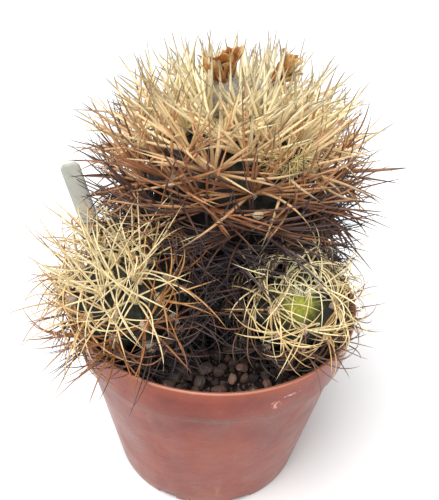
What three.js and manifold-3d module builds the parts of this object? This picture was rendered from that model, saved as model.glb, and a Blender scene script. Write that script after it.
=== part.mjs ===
// A round cactus with two offsets, growing in a plastic nursery pot.
// Millimetres, +Z up. The origin is the middle of the pot's flat base, and -Y is the front.

import * as THREE from 'three';
import { mergeVertices } from 'three/addons/utils/BufferGeometryUtils.js';
import Module from 'manifold-3d';

const wasm = await Module();
wasm.setup();

// Pot
const POT_HEIGHT = 86;
const RIM_RADIUS = 60;
const COLLAR_HEIGHT = 16;
const COLLAR_FOOT_RADIUS = 58.4;
const BODY_TOP_RADIUS = 56.3;
const BASE_RADIUS = 43;
const RIM_WIDTH = 1.6;
const WALL = 1.8;
const FOOT_EDGE = 1;
const LIP_EDGE = 0.8;
const POT_SIDES = 40;
const SLOT_COUNT = 8;
const SLOT = { width: 9, depth: 8, height: 5, inset: 1 };

// Potting mix and what lies on it
const GAP = 0.35;
const MIX_TOP = 77;
const MIX_SHOULDER = { reach: 0.9, drop: 1.5, gap: 0.2 };
const STONE_COUNT = 12;
const STONE_RING = 50;
const STONE_ARC = THREE.MathUtils.degToRad(78);
const STONE_ROW_STEP = 5.5;
const STONE_SIZE = { smallest: 1.8, largest: 3.8 };
const STONE_SHAPE = { narrowest: 0.6, variation: 0.3, height: 0.6, raised: 0.25 };

// The three heads. The centre is the middle of the widest ring; up and down are the distances
// along the axis from there to the growing tip and to the woody end in the mix.
const HEADS = {
  main: {
    centre: [4, 14, 130], axis: [0, 0, 1], radius: 35.5, up: 28, down: 70,
    ribs: 14, ribDepth: 5, notch: 2.4, spacing: 12.5, rows: 7,
    felt: 2.1, spines: { central: 31, radial: 26, count: 8 },
  },
  left: {
    centre: [-31, -24, 98], axis: [-0.05, -0.45, 0.88], radius: 22, up: 23, down: 42,
    ribs: 11, ribDepth: 4, notch: 2.2, spacing: 10.5, rows: 4,
    felt: 1.9, spines: { central: 24, radial: 21, count: 7 },
  },
  right: {
    centre: [28.5, -24, 97], axis: [0.1, -0.68, 0.73], radius: 18, up: 18, down: 34,
    ribs: 9, ribDepth: 3.5, notch: 2, spacing: 9.5, rows: 4,
    felt: 1.7, spines: { central: 17, radial: 15, count: 7 },
  },
};

// Crown of the main head
const WOOL = { radius: 4.4, height: 2.5 };
const FRUITS = [
  { place: [-3.6, -6, 8.5], radii: [6.5, 5.5, 9] },
  { place: [11.5, 0, 6.5], radii: [4.2, 4, 8] },
];
const FLOWERS = [
  { lean: [-0.3, 0, 1], width: 9.3, height: 13, squash: 0.8 },
  { lean: [0.75, -0.1, 1], width: 5, height: 18, squash: 0.5 },
];

const FLOWER_SIDES = 12;

// Felt cushion of an areole: sizes as fractions of its radius, smaller on the rings at the crown
const FELT_SIDES = 5;
const FELT = { shoulderRadius: 0.72, shoulderHeight: 0.5, height: 0.75 };
const CROWN_RINGS = 2;
const CROWN_FELT = 0.75;
const CROWN_SPINE = 0.85;

// Spines: how far a spine may swing from its facet's own direction, how much shorter it may be tried,
// how thick its root is beside the felt, and the room it leaves round everything else
const SWING = { turn: 22, rise: 14 };
const TRIES_PER_LENGTH = 6;
const SHORTER = [1, 0.8, 0.6, 0.4];
const SPINE_ROOT = 0.42;
const CLEARANCE = 0.3;
const ROOM = { aboveRim: 1.2, insideRim: 1.3, aboveMix: 1.5, ownHead: 0.2, otherHead: 1.2, felt: 0.6 };

// Plant label, pushed in beside the plant
const LABEL = { width: 8, length: 90, thickness: 0.9, point: 12, top: [-60, 12, 136.5], foot: [-42, 4, 77] };

// ---------------------------------------------------------------- helpers

const vector = (list) => new THREE.Vector3(...list);

// Evenly spread fractions that look random but never change. Each use has a series of its own.
function spread(index, series) {
  const value = Math.sin(index * 12.9898 + series * 78.233) * 43758.5453;
  return value - Math.floor(value);
}

function toSolid(geometry) {
  const bare = geometry.clone();
  bare.deleteAttribute('normal');
  bare.deleteAttribute('uv');
  const merged = mergeVertices(bare, 1e-4);
  return new wasm.Manifold(new wasm.Mesh({
    numProp: 3,
    vertProperties: new Float32Array(merged.attributes.position.array),
    triVerts: new Uint32Array(merged.index.array),
  }));
}

function toGeometry(solid) {
  const mesh = solid.getMesh();
  const geometry = new THREE.BufferGeometry();
  geometry.setAttribute('position', new THREE.BufferAttribute(new Float32Array(mesh.vertProperties), 3));
  geometry.setIndex(new THREE.BufferAttribute(new Uint32Array(mesh.triVerts), 1));
  return geometry;
}

function cut(geometry, ...tools) {
  let solid = toSolid(geometry);
  for (const tool of tools) {
    solid = solid.subtract(toSolid(tool));
  }
  return toGeometry(solid);
}

// A lathe about +Z from [radius, height] pairs that start and end on the axis.
function turned(profile, sides) {
  const geometry = new THREE.LatheGeometry(profile.map(([r, z]) => new THREE.Vector2(r, z)), sides);
  return geometry.rotateX(Math.PI / 2);
}

function ellipsoid(centre, radii, grow = 0) {
  const geometry = new THREE.IcosahedronGeometry(1, 1);
  geometry.scale(...radii.map((radius) => radius + grow));
  return geometry.translate(...centre);
}

// Turns +Z towards an axis and moves the origin to a place.
function towards(axis, place) {
  const upright = new THREE.Vector3(0, 0, 1);
  const turn = new THREE.Quaternion().setFromUnitVectors(upright, vector(axis).normalize());
  return new THREE.Matrix4().compose(vector(place), turn, new THREE.Vector3(1, 1, 1));
}

// ---------------------------------------------------------------- pot and mix

const innerRadius = (z) => THREE.MathUtils.lerp(BASE_RADIUS - WALL, RIM_RADIUS - RIM_WIDTH, z / POT_HEIGHT);

function potGeometry() {
  const collarFoot = POT_HEIGHT - COLLAR_HEIGHT;
  const body = turned([
    [0, 0], [BASE_RADIUS - FOOT_EDGE, 0], [BASE_RADIUS, FOOT_EDGE], [BODY_TOP_RADIUS, collarFoot],
    [COLLAR_FOOT_RADIUS, collarFoot], [RIM_RADIUS, POT_HEIGHT - LIP_EDGE],
    [RIM_RADIUS - LIP_EDGE, POT_HEIGHT], [innerRadius(POT_HEIGHT), POT_HEIGHT],
    [innerRadius(WALL), WALL], [0, WALL],
  ], POT_SIDES);
  const slots = [];
  for (let i = 0; i < SLOT_COUNT; i += 1) {
    const slot = new THREE.BoxGeometry(SLOT.depth, SLOT.width, SLOT.height);
    slot.translate(BASE_RADIUS - SLOT.inset, 0, 0);
    slots.push(slot.rotateZ((i + 0.5) * 2 * Math.PI / SLOT_COUNT));
  }
  return cut(body, ...slots);
}

function mixGeometry(bedded) {
  const floor = WALL + GAP;
  const side = innerRadius(MIX_TOP) - GAP - MIX_SHOULDER.gap;
  const lump = turned([
    [0, floor], [innerRadius(floor) - FOOT_EDGE, floor], [side, MIX_TOP - MIX_SHOULDER.drop],
    [innerRadius(MIX_TOP) * MIX_SHOULDER.reach, MIX_TOP], [0, MIX_TOP],
  ], POT_SIDES);
  return cut(lump, ...bedded);
}

function stoneGeometry(index, grow = 0) {
  const angle = -Math.PI / 2 + STONE_ARC * (index / (STONE_COUNT - 1) - 0.5);
  const ring = STONE_RING - (index % 3) * STONE_ROW_STEP;
  const size = THREE.MathUtils.lerp(STONE_SIZE.smallest, STONE_SIZE.largest, spread(index, 1));
  const stone = new THREE.IcosahedronGeometry(1, 0);
  stone.rotateX(spread(index, 2) * 3);
  const width = size * (STONE_SHAPE.narrowest + STONE_SHAPE.variation * spread(index, 3));
  stone.scale(size + grow, width + grow, size * STONE_SHAPE.height + grow);
  stone.rotateZ(spread(index, 4) * 3);
  const z = MIX_TOP + size * STONE_SHAPE.raised;
  return stone.translate(ring * Math.cos(angle), ring * Math.sin(angle), z);
}

// ---------------------------------------------------------------- heads

// Half outline of a head as fractions of its radius and of its up or down length.
const BELOW = [[0, -1], [0.24, -0.95], [0.48, -0.68], [0.82, -0.32]];
const ABOVE = [[1, 0], [0.94, 0.36], [0.76, 0.68], [0.42, 0.93], [0, 1]];

function outline(head) {
  const below = BELOW.map(([r, z]) => new THREE.Vector2(r * head.radius, z * head.down));
  const above = ABOVE.map(([r, z]) => new THREE.Vector2(r * head.radius, z * head.up));
  return new THREE.SplineCurve([...below, ...above]);
}

// Rings of a head from the top down, half an areole spacing apart, then wider in the mix.
function ringsOf(head) {
  const curve = outline(head);
  const length = curve.getLength();
  const half = head.spacing / 2;
  const distances = [];
  let down = half * 1.1;
  while (down < length - half) {
    distances.push(down);
    down += distances.length < 2 * head.rows + 2 ? half : 2 * half;
  }
  return distances.map((distance) => {
    const t = 1 - distance / length;
    const at = curve.getPointAt(t);
    const along = curve.getTangentAt(t);
    return { r: at.x, z: at.y, out: along.y, up: -along.x };
  });
}

const hasAreole = (head, ring, rib) => ring < 2 * head.rows && (ring + rib) % 2 === 0;

// A point on a head in its own frame: crests carry an areole on every other ring.
function stemPoint(head, rings, ring, column, grow = 0) {
  const { r, z, out, up } = rings[ring];
  const crest = column % 2 === 0;
  const slim = Math.min(1, r / (0.6 * head.radius));
  let depth = slim * head.ribDepth;
  if (crest) {
    depth = hasAreole(head, ring, column / 2) ? 0 : slim * head.notch;
  }
  const angle = Math.PI * column / head.ribs;
  const reach = Math.max(0.8, r + out * (grow - depth));
  return new THREE.Vector3(reach * Math.cos(angle), reach * Math.sin(angle), z + up * (grow - depth));
}

function stemGeometry(head, grow = 0) {
  const rings = ringsOf(head);
  const columns = 2 * head.ribs;
  const points = [new THREE.Vector3(0, 0, head.up - 1 + grow)];
  for (let ring = 0; ring < rings.length; ring += 1) {
    for (let column = 0; column < columns; column += 1) {
      points.push(stemPoint(head, rings, ring, column, grow));
    }
  }
  points.push(new THREE.Vector3(0, 0, -head.down - grow));
  const at = (ring, column) => 1 + ring * columns + column % columns;
  const faces = [];
  for (let column = 0; column < columns; column += 1) {
    faces.push(0, at(0, column), at(0, column + 1));
    for (let ring = 0; ring + 1 < rings.length; ring += 1) {
      const [a, b] = [at(ring, column), at(ring, column + 1)];
      const [c, d] = [at(ring + 1, column), at(ring + 1, column + 1)];
      faces.push(a, c, b, b, c, d);
    }
    faces.push(points.length - 1, at(rings.length - 1, column + 1), at(rings.length - 1, column));
  }
  const geometry = new THREE.BufferGeometry().setFromPoints(points);
  geometry.setIndex(faces);
  return geometry.applyMatrix4(towards(head.axis, head.centre));
}

// ---------------------------------------------------------------- crown

function onCrown(place) {
  const { centre, up } = HEADS.main;
  return [centre[0] + place[0], centre[1] + place[1], centre[2] + up + place[2]];
}

function fruitGeometry(fruit, grow = 0) {
  return cut(ellipsoid(onCrown(fruit.place), fruit.radii, grow), stemGeometry(HEADS.main, GAP));
}

function woolGeometry() {
  const wool = ellipsoid(onCrown([0, 0, -1]), [WOOL.radius, WOOL.radius, WOOL.height + 1]);
  const fruits = FRUITS.map((fruit) => ellipsoid(onCrown(fruit.place), fruit.radii, GAP));
  return cut(wool, stemGeometry(HEADS.main, GAP), ...fruits);
}

// A flower grows from the upper half of its fruit.
function flowerFoot(fruit) {
  const foot = onCrown(fruit.place);
  foot[2] += fruit.radii[2] * 0.5;
  return foot;
}

// A withered flower: a crumpled funnel with a ragged edge, standing on its fruit.
function flowerGeometry(flower, fruit) {
  const { width, height, squash } = flower;
  const funnel = turned([
    [0, 0], [width * 0.35, 0], [width * 0.6, height * 0.45], [width, height],
    [width * 0.85, height], [width * 0.42, height * 0.5], [0, height * 0.3],
  ], FLOWER_SIDES);
  const points = funnel.attributes.position;
  for (let i = 0; i < points.count; i += 1) {
    const angle = Math.atan2(points.getY(i), points.getX(i));
    const high = points.getZ(i) / height;
    const fold = 1 + high * 0.22 * Math.sin(5 * angle);
    const tear = high * height * 0.16 * (Math.sin(3 * angle + 1) + Math.sin(7 * angle) * 0.5 - 1);
    points.setXYZ(i, points.getX(i) * fold, points.getY(i) * fold * squash, points.getZ(i) + tear);
  }
  funnel.applyMatrix4(towards(flower.lean, flowerFoot(fruit)));
  return cut(funnel, ellipsoid(onCrown(fruit.place), fruit.radii, GAP));
}

// ---------------------------------------------------------------- label

// The label's long direction, from foot to top, and the direction across its face.
function labelAxes() {
  const long = vector(LABEL.top).sub(vector(LABEL.foot)).normalize();
  return { long, across: new THREE.Vector3(0, 1, 0).cross(long).normalize() };
}

function labelGeometry(grow = 0) {
  const half = LABEL.width / 2 + grow;
  const shape = new THREE.Shape();
  shape.moveTo(-half, grow);
  shape.lineTo(-half, LABEL.point - LABEL.length);
  shape.lineTo(0, -LABEL.length - grow);
  shape.lineTo(half, LABEL.point - LABEL.length);
  shape.lineTo(half, grow);
  shape.closePath();
  const plate = new THREE.ExtrudeGeometry(shape, { depth: LABEL.thickness + 2 * grow, bevelEnabled: false });
  plate.translate(0, 0, -LABEL.thickness / 2 - grow);
  const { long, across } = labelAxes();
  const frame = new THREE.Matrix4().makeBasis(across, long, across.clone().cross(long));
  return plate.applyMatrix4(frame.setPosition(vector(LABEL.top)));
}

// ---------------------------------------------------------------- spines

// Where the areoles of a head sit and how each is turned: out of the stem, towards the tip, and across.
function areolesOf(head) {
  const rings = ringsOf(head);
  const frame = towards(head.axis, head.centre);
  const areoles = [];
  for (let rib = 0; rib < head.ribs; rib += 1) {
    for (let ring = 0; ring < 2 * head.rows; ring += 1) {
      if (hasAreole(head, ring, rib)) {
        const angle = 2 * Math.PI * rib / head.ribs;
        const { out, up } = rings[ring];
        const normal = new THREE.Vector3(out * Math.cos(angle), out * Math.sin(angle), up).normalize();
        const tip = new THREE.Vector3(-up * Math.cos(angle), -up * Math.sin(angle), out).normalize();
        const place = stemPoint(head, rings, ring, 2 * rib, GAP + 0.1);
        const size = head.felt * (ring < CROWN_RINGS ? CROWN_FELT : 1);
        areoles.push({
          head, rib, ring, size, spikes: [],
          place: place.applyMatrix4(frame),
          out: normal.transformDirection(frame),
          tip: tip.transformDirection(frame),
          across: new THREE.Vector3(),
        });
      }
    }
  }
  for (const areole of areoles) {
    areole.across.crossVectors(areole.out, areole.tip);
  }
  return areoles;
}

// A direction in an areole's own frame: azimuth 0 is towards the tip, elevation 90 straight out.
function aim(areole, azimuth, elevation) {
  const a = THREE.MathUtils.degToRad(azimuth);
  const e = THREE.MathUtils.degToRad(elevation);
  return new THREE.Vector3()
    .addScaledVector(areole.tip, Math.cos(e) * Math.cos(a))
    .addScaledVector(areole.across, Math.cos(e) * Math.sin(a))
    .addScaledVector(areole.out, Math.sin(e));
}

// The felt cushion is a low antiprism with a point on top: five low facets, five high and five top.
function feltPoints(areole) {
  const points = [];
  const add = (radius, azimuth, height) => {
    const a = THREE.MathUtils.degToRad(azimuth);
    points.push(areole.place.clone()
      .addScaledVector(areole.tip, radius * Math.cos(a))
      .addScaledVector(areole.across, radius * Math.sin(a))
      .addScaledVector(areole.out, height));
  };
  for (let i = 0; i < FELT_SIDES; i += 1) {
    add(areole.size, (i + 0.5) * 360 / FELT_SIDES, 0);
  }
  for (let i = 0; i < FELT_SIDES; i += 1) {
    add(areole.size * FELT.shoulderRadius, i * 360 / FELT_SIDES, areole.size * FELT.shoulderHeight);
  }
  add(0, 0, areole.size * FELT.height);
  return points;
}

function feltFacets() {
  const facets = [];
  const turn = 360 / FELT_SIDES;
  const apex = 2 * FELT_SIDES;
  for (let i = 0; i < FELT_SIDES; i += 1) {
    const next = (i + 1) % FELT_SIDES;
    const before = (i + FELT_SIDES - 1) % FELT_SIDES;
    const [upper, upperNext] = [FELT_SIDES + i, FELT_SIDES + next];
    const middle = (i + 0.5) * turn;
    facets.push({ corners: [before, i, upper], azimuth: i * turn, elevation: 20, kind: 'radial' });
    facets.push({ corners: [i, upperNext, upper], azimuth: middle, elevation: 38, kind: 'radial' });
    facets.push({ corners: [upper, upperNext, apex], azimuth: middle, elevation: 66, kind: 'central' });
  }
  return facets;
}

const FACETS = feltFacets();

// One areole with its spines: each spine is drawn out of one facet of the felt.
function areoleGeometry(areole) {
  const points = feltPoints(areole);
  const faces = [];
  for (let i = 2; i < FELT_SIDES; i += 1) {
    faces.push(0, i, i - 1);
  }
  FACETS.forEach(({ corners: [a, b, c] }, facet) => {
    const spike = areole.spikes[facet];
    if (spike) {
      const tip = points.push(spike.end) - 1;
      faces.push(a, b, tip, b, c, tip, c, a, tip);
    } else {
      faces.push(a, b, c);
    }
  });
  const geometry = new THREE.BufferGeometry().setFromPoints(points);
  geometry.setIndex(faces);
  return geometry;
}

function facetMiddle(points, facet) {
  const middle = new THREE.Vector3();
  for (const corner of FACETS[facet].corners) {
    middle.addScaledVector(points[corner], 1 / 3);
  }
  return middle;
}

// Nearest distance between two straight pieces, with how far along each it is.
function between(p, q) {
  const d1 = p.end.clone().sub(p.start);
  const d2 = q.end.clone().sub(q.start);
  const r = p.start.clone().sub(q.start);
  const [a, e, f, c, b] = [d1.dot(d1), d2.dot(d2), d2.dot(r), d1.dot(r), d1.dot(d2)];
  const denominator = a * e - b * b;
  let s = denominator > 1e-9 ? THREE.MathUtils.clamp((b * f - c * e) / denominator, 0, 1) : 0;
  const t = THREE.MathUtils.clamp((b * s + f) / e, 0, 1);
  s = THREE.MathUtils.clamp((b * t - c) / a, 0, 1);
  const distance = p.start.clone().addScaledVector(d1, s).distanceTo(q.start.clone().addScaledVector(d2, t));
  return { distance, s, t };
}

// Everything a spine must stay clear of, as tapered or plain round bars. An areole's own bars don't count.
const bars = [];

function addBar(start, end, thick, thin, ...owners) {
  const length = start.distanceTo(end);
  const middle = start.clone().lerp(end, 0.5);
  bars.push({ start, end, thick, thin, owners, middle, reach: length / 2 + Math.max(thick, thin) });
}

function hitsBar(spike, areole) {
  const middle = spike.start.clone().lerp(spike.end, 0.5);
  const reach = spike.start.distanceTo(spike.end) / 2 + spike.thick;
  return bars.some((bar) => {
    if (bar.owners.includes(areole) || bar.middle.distanceTo(middle) > bar.reach + reach) {
      return false;
    }
    const { distance, s, t } = between(spike, bar);
    return distance < spike.thick * (1 - s) + THREE.MathUtils.lerp(bar.thick, bar.thin, t) + CLEARANCE;
  });
}

const headFrames = Object.values(HEADS).map((head) => ({
  head,
  inverse: towards(head.axis, head.centre).invert(),
  outline: outline(head).getSpacedPoints(60),
}));

function insideHead({ head, inverse, outline: profile }, point, margin) {
  const local = point.clone().applyMatrix4(inverse);
  const r = Math.hypot(local.x, local.y) / (1 + margin / head.radius);
  const z = local.z / (1 + margin / head.up);
  for (let i = 1; i < profile.length; i += 1) {
    const [low, high] = [profile[i - 1], profile[i]];
    if (z >= low.y && z < high.y) {
      return r < THREE.MathUtils.mapLinear(z, low.y, high.y, low.x, high.x);
    }
  }
  return false;
}

// True for a point too near the pot's rim, which is the one part of the pot that stands above the mix.
function nearRim(point, above, inside) {
  return point.z < POT_HEIGHT + above && Math.hypot(point.x, point.y) > innerRadius(POT_HEIGHT) - inside;
}

function hitsBody(spike, own) {
  const samples = 8;
  for (let i = 1; i <= samples; i += 1) {
    const point = spike.start.clone().lerp(spike.end, i / samples);
    if (nearRim(point, ROOM.aboveRim, ROOM.insideRim) || point.z < MIX_TOP + ROOM.aboveMix) {
      return true;
    }
    const room = (head) => (head === own ? ROOM.ownHead : ROOM.otherHead);
    if (headFrames.some((frame) => insideHead(frame, point, room(frame.head)))) {
      return true;
    }
  }
  return false;
}

function blockCrown() {
  for (const [i, fruit] of FRUITS.entries()) {
    const flower = FLOWERS[i];
    const middle = vector(onCrown(fruit.place));
    const tall = new THREE.Vector3(0, 0, fruit.radii[2]);
    addBar(middle.clone().sub(tall), middle.clone().add(tall), fruit.radii[0] + GAP, fruit.radii[0] * 0.8);
    const foot = vector(flowerFoot(fruit));
    const top = foot.clone().addScaledVector(vector(flower.lean).normalize(), flower.height);
    addBar(foot, top, flower.width * 0.6, flower.width * 1.15);
  }
  const apex = vector(onCrown([0, 0, -3]));
  addBar(apex, apex.clone().setZ(apex.z + 1), WOOL.radius, WOOL.radius);
}

function blockLabelAndStones() {
  const { across } = labelAxes();
  for (const side of [-1, 0, 1]) {
    const start = vector(LABEL.foot).addScaledVector(across, side * LABEL.width / 3);
    const end = vector(LABEL.top).addScaledVector(across, side * LABEL.width / 3);
    addBar(start, end, LABEL.width / 4, LABEL.width / 4);
  }
  for (let i = 0; i < STONE_COUNT; i += 1) {
    const stone = stoneGeometry(i);
    stone.computeBoundingSphere();
    const { center, radius } = stone.boundingSphere;
    addBar(center, center.clone().setZ(center.z + 0.1), radius, radius);
  }
}

// Spines that run up the rib into the next areole's felt, and so join the row into one piece.
function linkRow(row) {
  for (let i = 1; i < row.length; i += 1) {
    const [areole, next] = [row[i], row[i - 1]];
    const start = facetMiddle(feltPoints(areole), 0);
    const goal = next.place.clone().addScaledVector(next.out, next.size * 0.3);
    const end = goal.clone().add(goal.clone().sub(start).setLength(next.size * 0.35));
    areole.spikes[0] = { start, end };
    addBar(start, end, areole.size * 0.45, 0, areole, next);
  }
}

// Tries a few directions and lengths for one spine and keeps the first that is clear.
function growSpine(areole, facet, seed) {
  const { azimuth, elevation, kind } = FACETS[facet];
  const start = facetMiddle(feltPoints(areole), facet);
  const typical = areole.head.spines[kind] * (areole.ring < CROWN_RINGS ? CROWN_SPINE : 1);
  const full = typical * (0.85 + 0.3 * spread(seed, 5));
  for (const part of SHORTER) {
    for (let attempt = 0; attempt < TRIES_PER_LENGTH; attempt += 1) {
      const turn = azimuth + SWING.turn * (spread(seed, 6 + attempt) - 0.5);
      const rise = elevation + SWING.rise * (spread(seed, 16 + attempt) - 0.5);
      const end = start.clone().addScaledVector(aim(areole, turn, rise), full * part);
      const spike = { start, end, thick: areole.size * SPINE_ROOT };
      if (!hitsBar(spike, areole) && !hitsBody(spike, areole.head)) {
        areole.spikes[facet] = spike;
        addBar(start, end, spike.thick, 0, areole);
        return;
      }
    }
  }
}

// True where there is no room for an areole: against another head, a fruit, the rim or the mix.
function crowded({ head, place, size }) {
  const room = size + ROOM.felt;
  const underFruit = FRUITS.some((fruit) => {
    const radii = vector(fruit.radii).addScalar(room);
    return place.clone().sub(vector(onCrown(fruit.place))).divide(radii).length() < 1;
  });
  const others = headFrames.filter((frame) => frame.head !== head);
  const pressed = others.some((frame) => insideHead(frame, place, room));
  return nearRim(place, room, room) || underFruit || pressed || place.z < MIX_TOP + room;
}

function spineRows() {
  const rows = [];
  for (const [headName, head] of Object.entries(HEADS)) {
    const areoles = areolesOf(head);
    for (let rib = 0; rib < head.ribs; rib += 1) {
      const name = `${headName}_spines_rib_${String(rib + 1).padStart(2, '0')}`;
      const row = areoles.filter((areole) => areole.rib === rib && !crowded(areole));
      rows.push({ name, headName, areoles: row });
    }
  }
  for (const { areoles } of rows) {
    for (const areole of areoles) {
      const { place, out, size } = areole;
      addBar(place, place.clone().addScaledVector(out, 0.1), size * 1.05, size * 1.05, areole);
    }
    linkRow(areoles);
  }
  let seed = 0;
  for (const { areoles } of rows) {
    for (const areole of areoles) {
      const { count } = areole.head.spines;
      for (let i = 0; i < count; i += 1) {
        seed += 1;
        const facet = Math.round(1 + i * (FACETS.length - 2) / (count - 1));
        growSpine(areole, facet, seed);
      }
    }
  }
  return rows;
}

function rowGeometry(areoles) {
  return toGeometry(wasm.Manifold.union(areoles.map((areole) => toSolid(areoleGeometry(areole)))));
}

// ---------------------------------------------------------------- assembly

const plant = new THREE.Group();

function addPiece(name, geometry, color, roughness = 0.8) {
  const mesh = new THREE.Mesh(geometry, new THREE.MeshStandardMaterial({ color, roughness, metalness: 0 }));
  mesh.name = name;
  plant.add(mesh);
}

const stoneNumbers = [...Array(STONE_COUNT).keys()];
const bedded = [
  ...Object.values(HEADS).map((head) => stemGeometry(head, GAP)),
  ...stoneNumbers.map((number) => stoneGeometry(number, GAP)),
  labelGeometry(GAP),
];

addPiece('pot', potGeometry(), 0xb5614c, 0.5);
addPiece('potting_mix', mixGeometry(bedded), 0x33271f, 0.95);
for (const number of stoneNumbers) {
  addPiece(`gravel_stone_${String(number + 1).padStart(2, '0')}`, stoneGeometry(number), 0x7a5546, 0.85);
}
addPiece('plant_label', labelGeometry(), 0xc3c3bb, 0.45);

addPiece('main_stem', stemGeometry(HEADS.main), 0x3b403a);
addPiece('left_stem', stemGeometry(HEADS.left), 0x3f453c);
addPiece('right_stem', stemGeometry(HEADS.right), 0x55633a);

addPiece('main_crown_wool', woolGeometry(), 0xc9bd9f, 0.95);
FRUITS.forEach((fruit, i) => {
  addPiece(`woolly_fruit_${i + 1}`, fruitGeometry(fruit), 0xb9b4ab, 0.95);
  addPiece(`dried_flower_${i + 1}`, flowerGeometry(FLOWERS[i], fruit), 0xa8672c);
});

const SPINE_COLOURS = { main: 0xc9a472, left: 0xd9c38c, right: 0xcfc27e };
blockCrown();
blockLabelAndStones();
for (const { name, headName, areoles } of spineRows()) {
  addPiece(name, rowGeometry(areoles), SPINE_COLOURS[headName], 0.5);
}

export default plant;
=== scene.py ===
"""Looks of a potted round cactus with two offsets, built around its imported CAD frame. Metres, +Z up."""

import math

import bmesh
import bpy
import numpy as np
from mathutils import Matrix, Vector, noise
from numpy.linalg import norm


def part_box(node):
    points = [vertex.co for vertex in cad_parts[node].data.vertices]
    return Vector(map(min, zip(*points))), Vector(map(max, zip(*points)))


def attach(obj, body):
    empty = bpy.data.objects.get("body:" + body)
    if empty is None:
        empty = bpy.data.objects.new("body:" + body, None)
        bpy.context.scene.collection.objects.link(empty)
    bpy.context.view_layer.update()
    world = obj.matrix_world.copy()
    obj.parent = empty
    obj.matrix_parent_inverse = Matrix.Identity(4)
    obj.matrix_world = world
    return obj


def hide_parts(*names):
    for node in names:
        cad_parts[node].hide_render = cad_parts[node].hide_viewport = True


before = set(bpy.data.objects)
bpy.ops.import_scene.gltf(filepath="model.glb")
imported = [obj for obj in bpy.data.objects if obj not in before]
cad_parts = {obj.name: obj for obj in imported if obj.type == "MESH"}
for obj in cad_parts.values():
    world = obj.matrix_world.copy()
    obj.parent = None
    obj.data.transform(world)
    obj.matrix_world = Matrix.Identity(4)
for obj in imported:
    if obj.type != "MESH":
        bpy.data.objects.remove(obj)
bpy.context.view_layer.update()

MM = 0.001
rng = np.random.default_rng(7)

# ---------------- driving sizes

POT_LOW, POT_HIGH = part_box("pot")
MIX_LOW, MIX_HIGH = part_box("potting_mix")
RIM_RADIUS = (POT_HIGH.x - POT_LOW.x) / 2
RIM_TOP = POT_HIGH.z
RIM_WIDTH = 1.6 * MM
BASE_RADIUS = 43 * MM
WALL = 1.8 * MM

# The collar runs from its foot up to the rim and stands out past the top of the pot's body
COLLAR_HEIGHT = 16 * MM
COLLAR_FOOT = RIM_TOP - COLLAR_HEIGHT
COLLAR_RADIUS = 58.4 * MM
COLLAR_STEP = 0.6 * MM
BODY_RADIUS = 56.3 * MM

# Drain slots round the edge of the base: how wide, deep (inwards) and tall each cut is
SLOTS = 8
SLOT_SIZE = (8 * MM, 8.6 * MM, 5 * MM)
SLOT_INSET = 1 * MM

# The mix, and how far from the pot's axis the grit on it is spread
MIX_TOP = MIX_HIGH.z
MIX_RADIUS = RIM_RADIUS - RIM_WIDTH - 1.4 * MM
MIX_FOOT_RADIUS = BASE_RADIUS - 3 * MM
GRIT_RADIUS = RIM_RADIUS - RIM_WIDTH - 3.4 * MM
STONES = [f"gravel_stone_{i:02d}" for i in range(1, 13)]

# The label: half its width, how long its point is, the radius of its corners, and its bow
LABEL_HALF = 4 * MM
LABEL_POINT = 12 * MM
LABEL_CORNER = 1.4 * MM
LABEL_BOW = 0.5 * MM
LABEL_THICK = 0.8 * MM

# Camera: where it stands, what it looks at and how far it is rolled
CAMERA_PLACE = Vector((0, -0.2015, 0.2340))
CAMERA_AIM = Vector((0.0011, 0, 0.1066))
CAMERA_ROLL = math.radians(3.04)
CAMERA_LENS = 41.98


# ---------------- small helpers

def linear(code):
    """The linear colour of an sRGB hex code."""
    parts = [int(code[i:i + 2], 16) / 255 for i in (0, 2, 4)]
    return np.array([c / 12.92 if c <= 0.04045 else ((c + 0.055) / 1.055) ** 2.4 for c in parts])


def unit(v):
    return v / np.maximum(norm(v, axis=-1, keepdims=True), 1e-12)


def centre_and_half(node):
    """Centre and half size of a CAD node's box."""
    low, high = (np.array(corner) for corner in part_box(node))
    return (low + high) / 2, (high - low) / 2


def points_of(node):
    """The points of a CAD node's mesh."""
    return np.array([v.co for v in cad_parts[node].data.vertices], float)


def in_scene(name, data):
    """A new object in the scene that shows a mesh, a light or a camera."""
    thing = bpy.data.objects.new(name, data)
    bpy.context.scene.collection.objects.link(thing)
    return thing


def new_object(name, mesh, material, smooth=True):
    mesh.materials.append(material)
    if smooth:
        mesh.shade_smooth()
    else:
        mesh.shade_flat()
    return in_scene(name, mesh)


def mount(piece, slot, *nodes):
    """Rides a piece on the plant's one body and lets it stand for CAD nodes."""
    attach(piece, "root")
    if nodes:
        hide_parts(*nodes)
    return piece


def mesh_from(name, points, faces):
    mesh = bpy.data.meshes.new(name)
    mesh.from_pydata([tuple(p) for p in points], [], faces)
    mesh.validate()
    mesh.update()
    return mesh


def shell_faces(rings, sides):
    """Faces of a closed shell: a point, rings of points from the bottom up (anticlockwise), a point."""
    end = 1 + rings * sides
    last = end - sides
    faces = []
    for i in range(sides):
        j = (i + 1) % sides
        faces.append((0, 1 + j, 1 + i))
        for k in range(rings - 1):
            a, b = 1 + k * sides, 1 + (k + 1) * sides
            faces.append((a + i, a + j, b + j, b + i))
        faces.append((last + i, last + j, end))
    return faces


def sheet_faces(rows, columns, start=0):
    """Faces of an open sheet whose points are stored row by row."""
    faces = []
    for k in range(rows):
        for m in range(columns):
            a = start + k * (columns + 1) + m
            faces.append((a, a + 1, a + columns + 2, a + columns + 1))
    return faces


def thicken(piece, thickness):
    """Gives a sheet its thickness, half to each side."""
    sheet = piece.modifiers.new("sheet", "SOLIDIFY")
    sheet.thickness = thickness
    sheet.offset = 0


def paint(mesh, colours):
    """Stores a linear colour for each vertex, for the material to read."""
    attribute = mesh.color_attributes.new("tint", "FLOAT_COLOR", "POINT")
    rgba = np.ones((len(colours), 4), np.float32)
    rgba[:, :3] = colours
    attribute.data.foreach_set("color", rgba.ravel())


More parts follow.
